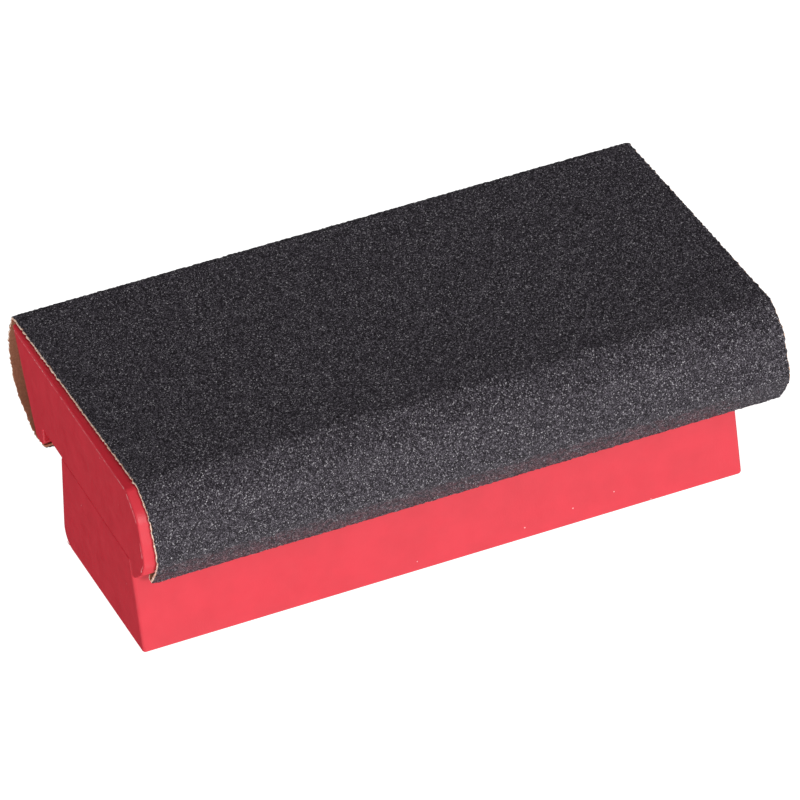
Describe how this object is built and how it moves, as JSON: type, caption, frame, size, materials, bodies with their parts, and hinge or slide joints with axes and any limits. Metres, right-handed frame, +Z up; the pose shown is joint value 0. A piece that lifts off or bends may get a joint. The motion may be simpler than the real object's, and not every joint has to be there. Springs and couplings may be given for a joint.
{
  "type": "sanding block",
  "caption": "Hand sanding block: a hollow grip carries a wide head that is wrapped in a replaceable abrasive sheet, tucked in behind a lip along each side.",
  "frame": {"origin": "centre of the grip's flat face, on which the block rests", "axes": "+X along the block, +Y to the side of the long overhang, +Z up to the abrasive"},
  "size_m": [0.1422, 0.0779, 0.0431],
  "materials": {
    "red_plastic": "semi-gloss, faintly mottled as moulded",
    "strip_rubber": "matt",
    "screw_steel": "zinc plated",
    "kraft_paper": "matt tan backing paper",
    "grit": "coarse black abrasive grain that glitters"
  },
  "bodies": {
    "block": {"grip_box": "red_plastic", "head_moulding": "red_plastic", "front_grip_strip": "strip_rubber", "rear_grip_strip": "strip_rubber", "assembly_screws": "screw_steel"},
    "sheet": {"backing_paper": "kraft_paper", "abrasive_coat": "grit"}
  },
  "joints": [
    {"name": "sheet_slide", "type": "slide", "parent": "block", "child": "sheet", "axis": [1, 0, 0], "range_m": [0, 0.15]}
  ]
}
